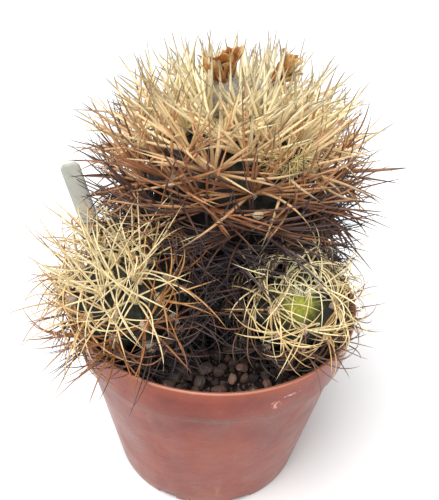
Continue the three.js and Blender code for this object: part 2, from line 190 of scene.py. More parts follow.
def fbm(point, scale, octaves=3):
    """Smooth noise about zero at a point, with features of about 1 / scale."""
    return noise.fractal(Vector(point) * scale, 1.0, 2.0, octaves)


# ---------------- material helpers

class NodeTree:
    """The node tree of a material or a world, built one node at a time."""

    def __init__(self, owner):
        owner.use_nodes = True
        self.tree = owner.node_tree

    def feed(self, value, target):
        """Links a socket to an input, or sets the input to a number, a vector or a hex colour."""
        if isinstance(value, bpy.types.NodeSocket):
            self.tree.links.new(value, target)
        elif isinstance(value, str):
            target.default_value = (*linear(value), 1)
        else:
            target.default_value = value

    def node(self, kind, output, inputs, **settings):
        """Adds a node, feeds its inputs and gives back one of its outputs."""
        node = self.tree.nodes.new(f"ShaderNode{kind}")
        for key, value in settings.items():
            setattr(node, key, value)
        for key, value in inputs.items():
            self.feed(value, node.inputs[key])
        return node.outputs[output]


class Shader(NodeTree):
    """A principled material."""

    def __init__(self, name, roughness, **settings):
        """settings are inputs of the principled node, with underscores for the spaces in their names."""
        self.material = bpy.data.materials.new(name)
        super().__init__(self.material)
        self.inputs = self.tree.nodes["Principled BSDF"].inputs
        self.inputs["Roughness"].default_value = roughness
        for key, value in settings.items():
            self.inputs[key.replace("_", " ")].default_value = value
        self.coordinates = self.node("TexCoord", "Object", {})

    def noise(self, scale, detail=4.0, roughness=0.55):
        """Smooth noise; three scales stretch it differently along each axis."""
        where = self.coordinates
        if isinstance(scale, tuple):
            where = self.node("Mapping", "Vector", {"Vector": where, "Scale": scale})
            scale = 1.0
        inputs = {"Vector": where, "Scale": scale, "Detail": detail, "Roughness": roughness}
        return self.node("TexNoise", "Fac", inputs)

    def cells(self, scale):
        return self.node("TexVoronoi", "Distance", {"Vector": self.coordinates, "Scale": scale})

    def ramp(self, source, *stops):
        """A colour ramp from (position, hex colour or grey) stops."""
        node = self.tree.nodes.new("ShaderNodeValToRGB")
        elements = node.color_ramp.elements
        while len(elements) < len(stops):
            elements.new(0.5)
        for element, (position, colour) in zip(elements, stops):
            element.position = position
            shade = linear(colour) if isinstance(colour, str) else (colour,) * 3
            element.color = (*shade, 1)
        self.feed(source, node.inputs["Fac"])
        return node.outputs["Color"]

    def mix(self, kind, factor, first, second):
        return self.node("Mix", 2, {0: factor, 6: first, 7: second}, data_type="RGBA", blend_type=kind)

    def times(self, first, *others):
        """The product of masks, clamped to 0..1."""
        for other in others:
            first = self.node("Math", "Value", {0: first, 1: other}, operation="MULTIPLY", use_clamp=True)
        return first

    def layer(self, colour, tint, *masks):
        """Lays a tint over a colour, as strongly as the masks multiplied together say."""
        return self.mix("MIX", self.times(*masks), colour, tint)

    def shaded(self, grain):
        """The colour stored in the mesh, multiplied by a grain."""
        return self.mix("MULTIPLY", 1.0, self.stored(), grain)

    def stored(self):
        return self.node("Attribute", "Color", {}, attribute_name="tint")

    def map_range(self, source, low, high, to_low, to_high):
        ends = {"From Min": low, "From Max": high, "To Min": to_low, "To Max": to_high}
        return self.node("MapRange", "Result", {"Value": source, **ends})

    def band(self, low, high, to_low=0.0, to_high=1.0):
        """Runs from one value to another between two heights, in metres."""
        height = self.node("SeparateXYZ", "Z", {"Vector": self.coordinates})
        return self.map_range(height, low, high, to_low, to_high)

    def spot(self, place, reach, squash):
        """One at a place, falling to nothing at a reach; squash above 1 flattens the spot."""
        offset = self.node("VectorMath", "Vector", {0: self.coordinates, 1: place}, operation="SUBTRACT")
        offset = self.node("VectorMath", "Vector", {0: offset, 1: (1, 1, squash)}, operation="MULTIPLY")
        distance = self.node("VectorMath", "Value", {0: offset}, operation="LENGTH")
        return self.map_range(distance, 0, reach, 1, 0)

    def bump(self, height, distance, strength):
        inputs = {"Height": height, "Distance": distance, "Strength": strength}
        self.feed(self.node("Bump", "Normal", inputs), self.inputs["Normal"])

    def finish(self, colour, roughness=None):
        self.feed(colour, self.inputs["Base Color"])
        if roughness is not None:
            self.feed(roughness, self.inputs["Roughness"])
        return self.material


# ---------------- materials

# A painted highlight streak and a scuff on the collar: place, reach, how flat, colour, how frayed, and how
# the edge fades
HIGHLIGHT_AND_SCUFF = [
    # a long flat streak of painted highlight where the collar curves
    ((0.0298, -0.0515, 0.0793), 5.5 * MM, 6, "E2C4C0",
     [(0.4, 0.1), (0.62, 1)], [(0.18, 0), (0.5, 0.65)]),
    # a real scuff, pale pink
    ((0.0240, -0.0541, 0.0763), 3.2 * MM, 1, "DDA494",
     [(0.46, 0), (0.58, 1)], [(0.15, 0), (0.45, 0.7)]),
]


def pot_material():
    """Terracotta-coloured moulded plastic: cloudy, dusted with lime low down, darker in the step under the
    collar with grime and painted shade, and scuffed on the collar, with a painted highlight streak there
    and along the lip.
    """
    s = Shader("pot_plastic_look", 0.4, Specular_IOR_Level=0.45, Subsurface_Weight=0.02)
    clouds = s.ramp(s.noise(34, 6, 0.65), (0.34, "681D0E"), (0.5, "7B2A15"), (0.66, "8D3D24"))
    stain = s.ramp(s.noise((48, 48, 26), 6, 0.65), (0.46, 0), (0.66, 0.55))
    colour = s.layer(clouds, "7E4638", stain)
    # A darker band in the step under the collar: grime, with painted shade in the recess
    below = s.band(COLLAR_FOOT - 4 * MM, COLLAR_FOOT - 0.5 * MM)
    above = s.band(COLLAR_FOOT + 0.5 * MM, COLLAR_FOOT + 3 * MM, 1, 0)
    step = s.node("Math", "Value", {0: below, 1: above}, operation="MINIMUM", use_clamp=True)
    colour = s.layer(colour, "6B4A3C", step, s.ramp(s.noise(45, 5, 0.7), (0.35, 0.1), (0.65, 0.9)))
    dust = s.ramp(s.noise(75, 6, 0.7), (0.35, 0.15), (0.7, 0.9))
    colour = s.layer(colour, "8C5242", s.band(0, 40 * MM, 1, 0), dust)
    runs = s.ramp(s.noise((170, 170, 14), 4, 0.6), (0.6, 0), (0.72, 0.4))
    colour = s.layer(colour, "B89A7E", runs, s.ramp(s.noise(28, 2), (0.5, 0), (0.62, 1)))
    scuffs = s.ramp(s.noise((230, 230, 330), 7, 0.8), (0.62, 0), (0.68, 1))
    patches = s.ramp(s.noise(42, 2), (0.56, 0), (0.66, 1))
    collar = s.band(COLLAR_FOOT, RIM_TOP - 0.2 * COLLAR_HEIGHT, 0.15, 1)
    colour = s.layer(colour, "E6CDC4", scuffs, patches, collar)
    specks = s.ramp(s.cells(420), (0.04, 1), (0.1, 0))
    colour = s.layer(colour, "5E2F26", specks, s.ramp(s.noise(70, 3), (0.5, 0), (0.62, 0.5)))
    colour = s.layer(colour, "A0502F", s.band(RIM_TOP - 6 * MM, RIM_TOP - 1 * MM, 0, 0.35))
    frayed = s.noise((900, 900, 900), 5, 0.7)
    for place, reach, squash, tint, fray, edge in HIGHLIGHT_AND_SCUFF:
        # the first is a painted highlight streak, the second a scuff
        painted_highlight_and_scuff = s.times(s.spot(place, reach, squash), s.ramp(frayed, *fray))
        colour = s.layer(colour, tint, s.ramp(painted_highlight_and_scuff, *edge))
    # A pale line along the top of the lip: painted highlight
    colour = s.layer(colour, "C48A72", s.band(RIM_TOP - 0.8 * MM, RIM_TOP - 0.2 * MM, 0, 0.55))
    s.bump(s.noise((110, 110, 150), 5, 0.6), 0.6 * MM, 0.5)
    return s.finish(colour, s.ramp(s.noise(60, 4), (0.3, 0.24), (0.7, 0.46)))


def mix_material():
    """Damp peat and grit: near black with brown crumbs and a few pale grains."""
    s = Shader("potting_mix_look", 0.95, Specular_IOR_Level=0.1)
    base = s.ramp(s.noise(260, 6, 0.7), (0.3, "0C0908"), (0.5, "18110E"), (0.7, "2C1F19"))
    grains = s.ramp(s.cells(900), (0.1, 1), (0.3, 0))
    sparse = s.ramp(s.noise(500, 2), (0.62, 0), (0.7, 0.35))
    s.bump(s.cells(700), 0.6 * MM, 0.8)
    return s.finish(s.layer(base, "6A5A4E", grains, sparse))


def stone_material():
    """Weathered gravel, tinted stone by stone, with a fine mineral grain."""
    s = Shader("gravel_look", 0.85)
    colour = s.shaded(s.ramp(s.noise(900, 5, 0.7), (0.3, 0.62), (0.7, 1.12)))
    s.bump(s.noise(1400, 5, 0.7), 0.3 * MM, 0.7)
    return s.finish(s.layer(colour, "B7A08F", s.ramp(s.noise(350, 3), (0.62, 0), (0.75, 0.45))))


def flesh_material(name, dark, mid, green):
    """Old corky cactus skin: each vertex carries how fresh it is, from grey-black to green, the green with
    paler painted highlights.
    """
    s = Shader(name, 0.62, Specular_IOR_Level=0.35)
    skin = s.ramp(s.noise(420, 6, 0.65), (0.3, dark), (0.62, mid))
    # the green runs in stretched patches to a paler yellow-green: painted highlight
    fresh = s.ramp(s.noise((480, 200, 480), 5, 0.6), (0.32, green), (0.7, "B4B552"))
    lime = s.ramp(s.noise(700, 5, 0.8), (0.64, 0), (0.74, 0.55))
    s.bump(s.cells(1100), 0.3 * MM, 0.6)
    colour = s.layer(s.layer(skin, fresh, s.stored()), "8A8880", lime)
    return s.finish(colour, s.ramp(s.noise(500, 3), (0.3, 0.5), (0.7, 0.8)))


def spine_material(name):
    """Spines: colour from root to tip is stored in the mesh, with fine streaks over it."""
    s = Shader(name, 0.42, Specular_IOR_Level=0.45, Subsurface_Weight=0.06, Subsurface_Scale=1 * MM,
               Subsurface_Radius=(1, 0.6, 0.3))
    s.bump(s.noise(1600, 3), 0.08 * MM, 0.5)
    return s.finish(s.shaded(s.ramp(s.noise(900, 4, 0.6), (0.28, 0.78), (0.72, 1.12))))


def felt_material(name):
    """Felt and wool: matted short fibre over a tint that the mesh carries, darker in patches."""
    s = Shader(name, 0.95, Sheen_Weight=0.35, Sheen_Roughness=0.5, Specular_IOR_Level=0.15)
    fibres = s.shaded(s.ramp(s.noise(1500, 6, 0.75), (0.3, 0.55), (0.65, 1.1)))
    dirt = s.ramp(s.noise(320, 3), (0.35, 0.6), (0.6, 1))
    s.bump(s.noise(2200, 4, 0.7), 0.4 * MM, 0.8)
    return s.finish(s.mix("MULTIPLY", 0.8, fibres, dirt))


def petal_material():
    """Withered petals: papery and streaked lengthwise, over the mesh's tones from dark brown to amber,
    which carry painted shade and highlight.
    """
    s = Shader("dried_petal_look", 0.7, Subsurface_Weight=0.12, Subsurface_Scale=2 * MM,
               Subsurface_Radius=(1, 0.5, 0.2))
    s.bump(s.noise((1800, 1800, 220), 4, 0.6), 0.3 * MM, 0.9)
    return s.finish(s.shaded(s.ramp(s.noise((1500, 1500, 160), 5, 0.65), (0.3, 0.45), (0.65, 1.15))))


def label_material():
    """Weathered pale plastic, greyer and splashed with mix towards the foot."""
    s = Shader("label_look", 0.45)
    base = s.ramp(s.noise(90, 4), (0.3, "9E9E94"), (0.7, "B4B4AA"))
    low = s.band(MIX_TOP, MIX_TOP + 40 * MM, 0.85, 0.1)
    colour = s.layer(base, "6A5D50", low, s.ramp(s.noise(400, 6, 0.75), (0.5, 0), (0.68, 1)))
    s.bump(s.noise(600, 3), 0.06 * MM, 0.4)
    return s.finish(colour, s.ramp(s.noise(200, 4), (0.3, 0.38), (0.7, 0.6)))


POT_LOOK = pot_material()
MIX_LOOK = mix_material()
STONE_LOOK = stone_material()
LABEL_LOOK = label_material()
PETAL_LOOK = petal_material()
WOOL_LOOK = felt_material("wool_look")


# ---------------- pot

def lathe(name, profile, sides):
    """A closed surface of revolution from (radius, height) pairs that start and end on the axis."""
    points = [(0, 0, profile[0][1])]
    for r, z in profile[1:-1]:
        for i in range(sides):
            a = 2 * math.pi * i / sides
            points.append((r * math.cos(a), r * math.sin(a), z))
    points.append((0, 0, profile[-1][1]))
    return mesh_from(name, points, shell_faces(len(profile) - 2, sides))


def rounded(corner, before, after, radius, steps=4):
    """Points of a round edge in place of a corner of a profile."""
    corner, before, after = (np.array(p, float) for p in (corner, before, after))
    a, b = unit(before - corner) * radius, unit(after - corner) * radius
    out = []
    for i in range(steps + 1):
        t = i / steps
        out.append(tuple(corner + a * (1 - t) ** 2 + b * t ** 2))
    return out


def pot_profile():
    """Section of the pot: base, flared wall, collar with its step, rounded lip, inner wall and floor.

    Each corner has its place and the radius of its round edge. Long walls get points along them too.
    """
    corners = [
        ((0, 0), 0),
        ((BASE_RADIUS, 0), 1.6 * MM),
        ((BODY_RADIUS, COLLAR_FOOT - COLLAR_STEP), 0.5 * MM),
        ((COLLAR_RADIUS, COLLAR_FOOT), 0.3 * MM),
        ((RIM_RADIUS, RIM_TOP), 0.9 * MM),
        ((RIM_RADIUS - RIM_WIDTH, RIM_TOP), 0.9 * MM),
        ((BASE_RADIUS - WALL, WALL), 1.2 * MM),
        ((0, WALL), 0),
    ]
    profile = [corners[0][0]]
    for (before, _), (point, edge), (after, _) in zip(corners, corners[1:], corners[2:]):
        profile += rounded(point, before, after, edge)
        out, up = after[0] - point[0], after[1] - point[1]
        if abs(up) > 20 * MM:
            for t in np.linspace(0.1, 0.9, 9):
                profile.append((point[0] + t * out, point[1] + t * up))
    profile.append(corners[-1][0])
    return profile


def build_pot():
    """The pot's shell with the drain slots cut through its foot."""
    pot = new_object("pot_shell", lathe("pot_shell", pot_profile(), 160), POT_LOOK)
    for i in range(SLOTS):
        bpy.ops.mesh.primitive_cube_add(size=1)
        slot = bpy.context.object
        turn = Matrix.Rotation((i + 0.5) * 2 * math.pi / SLOTS, 4, "Z")
        shift = Matrix.Translation((BASE_RADIUS - SLOT_INSET, 0, 0))
        slot.matrix_world = turn @ shift @ Matrix.Diagonal((*SLOT_SIZE, 1))
        bpy.context.view_layer.update()
        cut = pot.modifiers.new("slot", "BOOLEAN")
        cut.object = slot
        cut.solver = "EXACT"
        bpy.context.view_layer.objects.active = pot
        bpy.ops.object.modifier_apply(modifier=cut.name)
        bpy.data.objects.remove(slot)
    return mount(pot, "pot_plastic", "pot")


# ---------------- heads

class Head:
    """A cactus head measured from its CAD stem: woody foot, axis, waist and growing tip."""

    # The outline below and above the waist, as shares of its radius and of the height down or up
    BELOW = [(0, -1), (0.24, -0.95), (0.48, -0.68), (0.82, -0.32)]
    ABOVE = [(1, 0), (0.94, 0.36), (0.76, 0.68), (0.42, 0.93), (0, 1)]

    def __init__(self, name, ribs, rows, spacing, depth, notch):
        self.name, self.ribs, self.rows = name, ribs, rows
        self.spacing, self.depth, self.notch = spacing, depth, notch
        points = points_of(f"{name}_stem")
        self.foot = points[points[:, 2].argmin()]
        away = norm(points - self.foot, axis=1)
        tip = points[away > 0.985 * away.max()].mean(0)  # about the furthest points from the foot
        self.axis = unit(tip - self.foot)
        along = (points - self.foot) @ self.axis
        off = norm(points - self.foot - along[:, None] * self.axis, axis=1)
        self.radius = off.max()
        self.down = along[off > 0.97 * self.radius].mean()  # about the widest points
        self.up = along.max() - self.down
        self.centre = self.foot + self.down * self.axis
        side = np.array([1.0, 0, 0])
        self.side = unit(side - (side @ self.axis) * self.axis)
        self.front = np.cross(self.axis, self.side)
        self.outline = self._outline()

    def _outline(self):
        """Distance from the axis, distance along it and outward normal, at even steps from tip to foot."""
        below = [(r * self.radius, z * self.down) for r, z in self.BELOW]
        above = [(r * self.radius, z * self.up) for r, z in self.ABOVE]
        knots = np.array(below + above)[::-1]
        t = np.linspace(0, len(knots) - 1, 2000)
        i = np.clip(t.astype(int), 0, len(knots) - 2)
        padded = np.vstack([2 * knots[0] - knots[1], knots, 2 * knots[-1] - knots[-2]])
        a, b, c, d = (padded[i + k] for k in range(4))
        u = (t - i)[:, None]
        square = 2 * a - 5 * b + 4 * c - d
        cube = 3 * b - a - 3 * c + d
        curve = 0.5 * (2 * b + (c - a) * u + square * u ** 2 + cube * u ** 3)
        steps = np.concatenate([[0], np.cumsum(norm(np.diff(curve, axis=0), axis=1))])
        self.length = steps[-1]
        self.even = np.linspace(0, self.length, 400)
        curve = np.stack([np.interp(self.even, steps, curve[:, k]) for k in (0, 1)], 1)
        curve[:, 0] = np.maximum(curve[:, 0], 0)
        slope = unit(np.gradient(curve, axis=0))
        return curve[:, 0], curve[:, 1], -slope[:, 1], slope[:, 0]

    def profile(self, distance):
        """Radius, height and outward normal at a distance down from the tip."""
        return [np.interp(distance, self.even, values) for values in self.outline]

    def world(self, r, z, angle):
        """Points from distances off and along the axis and angles round it."""
        r, z, angle = (np.asarray(v, float)[..., None] for v in (r, z, angle))
        return self.centre + r * (np.cos(angle) * self.side + np.sin(angle) * self.front) + z * self.axis

    def ring_distance(self, ring):
        """How far down from the tip a ring of areoles lies; neighbouring ribs use every other ring."""
        return (0.55 + 0.5 * ring) * self.spacing

    def lowness(self, distance):
        """How far down the head a distance from the tip is, from 0 at the crown to about 1 at the foot."""
        return distance / self.ring_distance(2 * self.rows)

    def relief(self, distance, angle):
        """How far the skin lies below the ideal outline: furrows between ribs and dips between areoles."""
        wave = 0.5 - 0.5 * np.cos(angle * self.ribs)
        rib = np.round(angle * self.ribs / (2 * np.pi))
        phase = (distance - self.ring_distance(rib % 2)) / self.spacing
        dip = (0.5 - 0.5 * np.cos(2 * np.pi * phase)) ** 0.8
        r = self.profile(distance)[0]
        slim = np.minimum(1, r / (0.6 * self.radius))
        return slim * (self.depth * wave ** 0.75 + self.notch * dip * (1 - wave))

    def away(self, points):
        """Vectors to points from the nearest place on the axis between the foot and the waist."""
        along = np.clip((points - self.centre) @ self.axis, -self.down, 0)
        return points - self.centre - along[..., None] * self.axis

    def contains(self, points, margin=0.0):
        """True for each point inside the head's outline, swelled by a margin."""
        local = points - self.centre
        z = local @ self.axis
        r = norm(local - z[..., None] * self.axis, axis=-1)
        limit = np.interp(z, self.outline[1][::-1], self.outline[0][::-1], left=-1, right=-1)
        return r < limit + np.where(limit > 0, margin, 0)


HEADS = {
    "main": Head("main", ribs=14, rows=7, spacing=12.5 * MM, depth=5 * MM, notch=2.6 * MM),
    "left": Head("left", ribs=11, rows=4, spacing=10.5 * MM, depth=4 * MM, notch=2.2 * MM),
    "right": Head("right", ribs=9, rows=4, spacing=9.5 * MM, depth=3.5 * MM, notch=2.0 * MM),
}


# The flesh of each head: the dark and the middle tone of its old skin, and its green, followed by how
# green the growing tip is, how far down that reaches and how sharply it ends
FLESH = {
    "main": ("151312", "2E2B28", "3E4430", 0.12, 14 * MM, 1),
    "left": ("131413", "2B2D2A", "3A4330", 0.12, 14 * MM, 1),
    "right": ("141513", "2B2D27", "7C8626", 1.4, 6.4 * MM, 2),
}


def build_stem(head):
    """The ribbed and knobbly skin of a head, dark all over but for its growing tip."""
    *tones, green, reach, power = FLESH[head.name]
    rings, columns = 150, head.ribs * 16
    distances = np.linspace(0.01, 0.995, rings) * head.length
    angles = np.linspace(0, 2 * np.pi, columns, endpoint=False)[::-1]
    distance, angle = np.meshgrid(distances, angles, indexing="ij")
    r, z, out, up = head.profile(distance)
    sunk = head.relief(distance, angle)
    points = head.world(np.maximum(r - out * sunk, 0.05 * MM), z - up * sunk, angle).reshape(-1, 3)
    tip, foot = head.world([0, 0], [head.up - 0.3 * MM, -head.down], [0, 0])
    points = np.vstack([tip, points, foot])
    wobble = np.array([fbm(p, 260) for p in points])
    points += unit(points - head.centre) * (0.35 * MM * wobble)[:, None]
    name = f"{head.name}_stem_skin"
    mesh = mesh_from(name, points, shell_faces(rings, columns))
    below_tip = np.concatenate([[0], distance.ravel(), [head.length]])
    fresh = np.clip(green * np.exp(-(below_tip / reach) ** power), 0, 1)
    paint(mesh, np.repeat(fresh[:, None], 3, axis=1))
    look = flesh_material(f"{head.name}_flesh_look", *tones)
    mount(new_object(name, mesh, look), f"{head.name}_flesh", f"{head.name}_stem")


# ---------------- areoles and spines

class Areole:
    """A spine cushion: its place on a head, the way out of the skin, the way to the tip and across."""

    def __init__(self, head, rib, ring):
        self.head = head
        self.distance = head.ring_distance(ring)
        angle = 2 * math.pi * rib / head.ribs
        r, z, out, up = head.profile(self.distance)
        self.place = head.world(r, z, angle)
        around = math.cos(angle) * head.side + math.sin(angle) * head.front
        self.out = unit(out * around + up * head.axis)
        self.tip = unit(-up * around + out * head.axis)
        self.across = np.cross(self.out, self.tip)

    def aim(self, azimuth, elevation):
        """Unit vectors from azimuths (0 is towards the tip) and elevations above the skin, in degrees."""
        a, e = np.radians(azimuth)[..., None], np.radians(elevation)[..., None]
        return np.cos(e) * (np.cos(a) * self.tip + np.sin(a) * self.across) + np.sin(e) * self.out


AREOLE_GAP = 1.5 * MM


def areoles_of(head):
    """The areoles of each rib, crown first, leaving out those in the mix, the rim or another head."""
    others = [other for other in HEADS.values() if other is not head]
    rows = []
    for rib in range(head.ribs):
        row = [Areole(head, rib, ring) for ring in range(rib % 2, 2 * head.rows, 2)]
        row = [areole for areole in row if areole.place[2] > MIX_TOP + AREOLE_GAP]
        rows.append([areole for areole in row
                     if not any(other.contains(areole.place, AREOLE_GAP) for other in others)])
    return rows


# A spine is a tube of so many sides and steps, and is drawn so many times at most if it hits something
SIDES = 5
STEPS = 12
TRIES = 8
DOWN = np.array([0, 0, -1.0])

# HOVER is the height over the skin at which a spine bends round the head in full, BENDS its least and
# most bend as a share of that, and SIDEWAYS_SHIFT how many degrees it is moved towards the sides at
# most, for a style's sideways of 1
HOVER = 6 * MM
BENDS = (0.1, 2.2)
SIDEWAYS_SHIFT = 28

# Room round the spines: from their own skin, from other heads, from the mix and rim, and inside and
# outside the pot's wall. OVERHANG is how far they may hang below the rim, FURTHEST how far they stand out,
# and the two shares say how much of the box of a fruit or a flower they keep out of.
SKIN_GAP = 0.3 * MM
HEAD_GAP = 3.5 * MM
MIX_GAP = 0.8 * MM
WALL_GAPS = (1.2 * MM, 1.0 * MM)
OVERHANG = 9 * MM
FURTHEST = 34 * MM
FRUIT_SHARE = 1.1
FLOWER_SHARE = 0.8


def inside_box_ball(points, node, fill):
    """True for points in the ball that fills a node's box, shrunk or swelled by a factor."""
    centre, half = centre_and_half(node)
    return norm((points - centre) / (half * fill), axis=-1) < 1


def hits_something(points, own):
    """True for each centreline that runs through a head, a fruit, a flower, the pot's wall or the mix."""
    late = points[:, 3:]  # the first steps are in the areole's felt
    bad = np.zeros(len(points), bool)
    for i in (1, 2):
        bad |= inside_box_ball(late, f"woolly_fruit_{i}", FRUIT_SHARE).any(1)
        bad |= inside_box_ball(late, f"dried_flower_{i}", FLOWER_SHARE).any(1)
    for head in HEADS.values():
        bad |= head.contains(late, SKIN_GAP if head is own else HEAD_GAP).any(1)
    off = norm(late[..., :2], axis=-1)
    low = late[..., 2] < RIM_TOP + MIX_GAP
    wall = low & (off > RIM_RADIUS - RIM_WIDTH - WALL_GAPS[0]) & (off < RIM_RADIUS + WALL_GAPS[1])
    sunk = (late[..., 2] < MIX_TOP + MIX_GAP) & (off < RIM_RADIUS)
    fallen = late[..., 2].min(1) < RIM_TOP - OVERHANG
    return bad | fallen | wall.any(1) | sunk.any(1)


def centrelines(start, direction, length, sway, head=None, wrap=0.0, droop=0.0):
    """Curved centrelines that turn as they go.

    sway is a turn over the whole length, in radians, given as a vector; wrap is how fully a line follows
    the head round (1 keeps its distance), and droop is how far it sags towards the ground.
    """
    step = (length / STEPS)[:, None]
    points = [start]
    for _ in range(STEPS):
        last = points[-1]
        turn = sway / length[:, None] + droop * DOWN / length[:, None]
        if head is not None:
            away = head.away(last)
            reach = norm(away, axis=1, keepdims=True)
            hover = np.clip((reach - 0.97 * head.radius) / HOVER, *BENDS)
            turn = turn - wrap[:, None] * hover * away / reach ** 2
        direction = unit(direction + step * turn)
        points.append(last + step * direction)
    return np.stack(points, 1)


def drawn_in(lines, head):
    """Shortens the few centrelines whose ends stand out beyond all the others."""
    reach = norm(head.away(lines[:, -1]), axis=1) - head.radius
    share = FURTHEST / np.maximum(reach, FURTHEST)
    return lines[:, :1] + share[:, None, None] * (lines - lines[:, :1])


def tube_mesh(name, lines, thickness, colours):
    """One mesh of tapered tubes, each with a map strip of its own: across is u and along is v."""
    count = len(lines)
    tangent = unit(np.gradient(lines, axis=1))
    helper = np.where(np.abs(tangent[:, :1, 2:]) < 0.9, np.array([0, 0, 1.0]), np.array([1.0, 0, 0]))
    side = unit(np.cross(tangent, np.broadcast_to(helper, tangent.shape)))
    third = np.cross(tangent, side)
    t = np.linspace(0, 1, STEPS + 1)
    taper = (1 - t ** 2.2) ** 0.85 + 0.04
    radius = thickness[:, None] * taper[None, :]
    a = 2 * np.pi * np.arange(SIDES) / SIDES
    ring = side[:, :, None] * np.cos(a)[:, None] + third[:, :, None] * np.sin(a)[:, None]
    points = (lines[:, :, None] + radius[:, :, None, None] * ring).reshape(-1, 3)
    one = []
    maps = []
    for k in range(STEPS):
        for i in range(SIDES):
            j = (i + 1) % SIDES
            one.append((k * SIDES + i, k * SIDES + j, (k + 1) * SIDES + j, (k + 1) * SIDES + i))
            maps.append(((i, k), (i + 1, k), (i + 1, k + 1), (i, k + 1)))
    quads = np.array(one)
    each = (STEPS + 1) * SIDES
    faces = (quads[None] + each * np.arange(count)[:, None, None]).reshape(-1, 4)
    caps = [tuple(range(n * each + SIDES - 1, n * each - 1, -1)) for n in range(count)]
    tips = [tuple(range(n * each + STEPS * SIDES, n * each + each)) for n in range(count)]
    mesh = bpy.data.meshes.new(name)
    mesh.from_pydata(points.tolist(), [], faces.tolist() + caps + tips)
    mesh.update()
    # each strip fills most of its share of the map, and a tube's two ends lie beyond the strip's ends
    uv = np.array(maps, float).reshape(-1, 2) / (SIDES, STEPS)
    strips = uv[None] * (0.92 / count, 0.98) + np.stack(
        [(np.arange(count) + 0.04) / count, np.full(count, 0.01)], 1)[:, None]
    ends = []
    for v in (0.005, 0.995):
        for n in range(count):
            middle = (n + 0.5) / count
            ends += [(middle + 0.2 / count * math.cos(x), v + 0.003 * math.sin(x)) for x in a]
    layer = mesh.uv_layers.new(name="OFBake")
    layer.data.foreach_set("uv", np.vstack([strips.reshape(-1, 2), ends]).astype(np.float32).ravel())
    paint(mesh, np.repeat(colours.reshape(-1, 3), SIDES, axis=0))
    return mesh


def shade_along(root, tip, start, speckle):
    """Colours along each spine: its own root colour, turning to the tip colour after start."""
    t = np.linspace(0, 1, STEPS + 1)[None, :, None]
    blend = np.clip((t - start[:, None, None]) / (1.02 - start[:, None, None]), 0, 1) ** 1.1
    colours = root[:, None] * (1 - blend) + tip[:, None] * blend
    return colours * speckle[:, None, None]


def pick(palette, where, spread):
    """Colours from a palette at fractional places, each moved a little at random.

    A palette is a list of (place, hex code), or of hex codes alone when they are evenly spaced.
    """
    if isinstance(palette[0], str):
        palette = list(zip(np.linspace(0, 1, len(palette)), palette))
    places = [place for place, _ in palette]
    table = np.array([linear(code) for _, code in palette])
    x = where + rng.normal(0, spread, len(where))
    return np.stack([np.interp(x, places, table[:, k]) for k in range(3)], 1)


# How the spines of each head look. A triple runs from the crown by the waist to the foot, and the
# palettes roots and tips give (how far down, colour).
# - count, length, thick: spines to an areole, their length and their radius in millimetres
# - lift, spread, fan, sideways: degrees above the skin, the scatter about that, how far round from
#   straight up the head the spines point, and how strongly they gather to the sides
# - wrap, sway, droop: how far they follow the head round, bend at random and sag
# - stiff: the share of spines that stand out straight from the skin
# - bald: how far from the growing tip the first spines are, in millimetres
# - open_back: how much fewer the spines are behind the crown, which lets the sky through
# - dark_from: where along a spine its tip colour starts
# - uneven, painted_top_light, flank, rear: how far a colour is moved down the palette at random, up it
#   towards the sky (painted light: paler on a head's upper side and darker on its lower side), down it
#   towards the plant's +X side, and up it towards the plant's back
STYLES = {
    "main": dict(
        count=(5, 28, 54), length=(28.5, 37, 30), thick=(0.88, 0.5, 0.3), lift=(58, 30, 24),
        spread=(18, 9, 16), fan=(180, 125, 150), sideways=(0.1, 0.9, 1.2), wrap=(0.1, 0.5, 0.5),
        sway=(0.35, 0.4, 0.6), droop=(-0.15, -0.05, 0.3), dark_from=(0.78, 0.62, 0.35),
        stiff=(0.2, 0.05, 0.02), bald=0, open_back=1.2, uneven=0.03, painted_top_light=0, flank=-0.005, rear=0.08,
        roots=[(0, "FFF3CE"), (0.27, "FFEBB8"), (0.355, "ECC897"), (0.415, "CC986A"), (0.475, "94603F"),
               (0.535, "664638"), (0.61, "4A3E40"), (1, "3C383C")],
        tips=[(0, "CCA66C"), (0.12, "86684A"), (0.22, "3E322E"), (0.36, "262224"), (1, "242226")],
    ),
    "left": dict(
        count=(6, 13, 46), length=(27, 28, 19), thick=(0.36, 0.34, 0.24), lift=(42, 38, 26),
        spread=(14, 20, 24), fan=(180, 150, 140), sideways=(0.1, 0.4, 0.6), wrap=(1.2, 1.5, 1.1),
        sway=(0.8, 1.1, 1.1), droop=(0, 0.05, 0.3), dark_from=(0.9, 0.75, 0.4),
        stiff=(0.14, 0.12, 0.06), bald=0, open_back=0, uneven=0.06, painted_top_light=0.13, flank=0.24, rear=0,
        roots=[(0, "F0DEAE"), (0.22, "E4CB96"), (0.34, "C28F5A"), (0.46, "95602F"), (0.64, "86563A"),
               (0.78, "4A3B38"), (1, "3C3538")],
        tips=[(0, "E0CA96"), (0.3, "A8865A"), (0.46, "5E4438"), (1, "2C282C")],
    ),
    "right": dict(
        count=(15, 18, 50), length=(23, 20, 13), thick=(0.29, 0.29, 0.22), lift=(34, 42, 26),
        spread=(8, 14, 20), fan=(180, 120, 140), sideways=(0.2, 0.8, 0.6), wrap=(1.6, 2.3, 1.5),
        sway=(1.0, 1.3, 1.1), droop=(0, 0.05, 0.2), dark_from=(0.92, 0.82, 0.4),
        stiff=(0.04, 0.04, 0.04), bald=7, open_back=0, uneven=0.06, painted_top_light=0.24, flank=-0.1, rear=0,
        # the first, palest root colour is painted light on the head's upper side, against the main head's
        # shade
        roots=[(0, "FBEEC0"), (0.1, "EFE0B0"), (0.22, "E6D09A"), (0.35, "C79F68"), (0.48, "755038"),
               (0.68, "443834"), (1, "3A3232")],
        tips=[(0, "D8C48C"), (0.3, "B08E58"), (0.48, "6E5444"), (1, "2E2A2C")],
    ),
}


